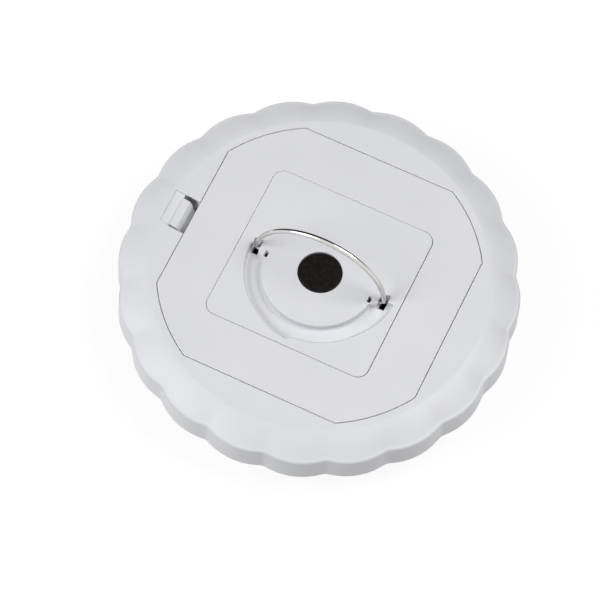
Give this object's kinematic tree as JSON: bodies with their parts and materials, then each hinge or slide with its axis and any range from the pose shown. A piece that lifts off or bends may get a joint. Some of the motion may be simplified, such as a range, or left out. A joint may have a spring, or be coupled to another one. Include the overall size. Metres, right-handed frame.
{
  "type": "tent light",
  "caption": "Round battery tent light with a scalloped rim, hinged battery door, sprung latch, folding wire hanging bail, disc magnet and front push button.",
  "frame": {"origin": "centre of the front ring's rest face, under the middle of the round body", "axes": "+Z from the lens side to the back of the lamp, +X towards the door's hinge, -X towards the latch, the bail folds down towards -Y"},
  "size_m": [0.1398, 0.1398, 0.0506],
  "materials": {
    "housing_plastic": "fine satin moulding, slightly cool off-white",
    "bail_wire": "bright nickel-plated steel wire",
    "magnet": "dark glossy coated disc magnet",
    "lens": "clear polycarbonate",
    "reflector": "silvered plastic tray",
    "circuit_board": "white solder mask",
    "switch": "black moulded switch case",
    "cell_wrap": "printed shrink wrap, plain",
    "contacts": "nickel-plated spring steel",
    "screws": "zinc-plated steel",
    "led": "clear dome over yellow phosphor",
    "button": "satin moulding like the housing"
  },
  "bodies": {
    "root": {"rear_housing": "housing_plastic", "front_bezel": "housing_plastic", "magnet": "magnet", "lens": "lens", "reflector": "reflector", "led_board": "circuit_board", "switch_body": "switch", "battery_cell_1": "cell_wrap", "battery_cell_2": "cell_wrap", "battery_cell_3": "cell_wrap", "battery_cell_4": "cell_wrap", "contact_spring_1": "contacts", "contact_spring_2": "contacts", "contact_spring_3": "contacts", "contact_spring_4": "contacts", "contact_bridge_1": "contacts", "contact_bridge_2": "contacts", "contact_bridge_3": "contacts", "terminal_positive": "contacts", "terminal_negative": "contacts", "housing_screw_1": "screws", "housing_screw_2": "screws", "housing_screw_3": "screws", "housing_screw_4": "screws", "led_01": "led", "led_02": "led", "led_03": "led", "led_04": "led", "led_05": "led", "led_06": "led", "led_07": "led", "led_08": "led", "led_09": "led", "led_10": "led", "led_11": "led", "led_12": "led", "led_13": "led", "led_14": "led", "led_15": "led", "led_16": "led", "led_17": "led", "led_18": "led"},
    "door": {"battery_door": "housing_plastic"},
    "latch": {"door_latch": "housing_plastic"},
    "bail": {"hanging_bail": "bail_wire"},
    "button": {"push_button": "button", "switch_plunger": "switch"}
  },
  "joints": [
    {"name": "door_hinge", "type": "hinge", "parent": "root", "child": "door", "pos_m": [0.04855, 0, 0.0277], "axis": [0, 1, 0], "range_deg": [0, 60]},
    {"name": "latch_flex", "type": "slide", "parent": "door", "child": "latch", "axis": [1, 0, 0], "range_m": [0, 0.0006], "stiffness_N_per_m": 1500},
    {"name": "bail_hinge", "type": "hinge", "parent": "root", "child": "bail", "pos_m": [0, 0, 0.0257], "axis": [1, 0, 0], "range_deg": [-17, 92.9]},
    {"name": "button_press", "type": "slide", "parent": "root", "child": "button", "axis": [0, 0, 1], "range_m": [0, 0.0015], "stiffness_N_per_m": 1200}
  ]
}
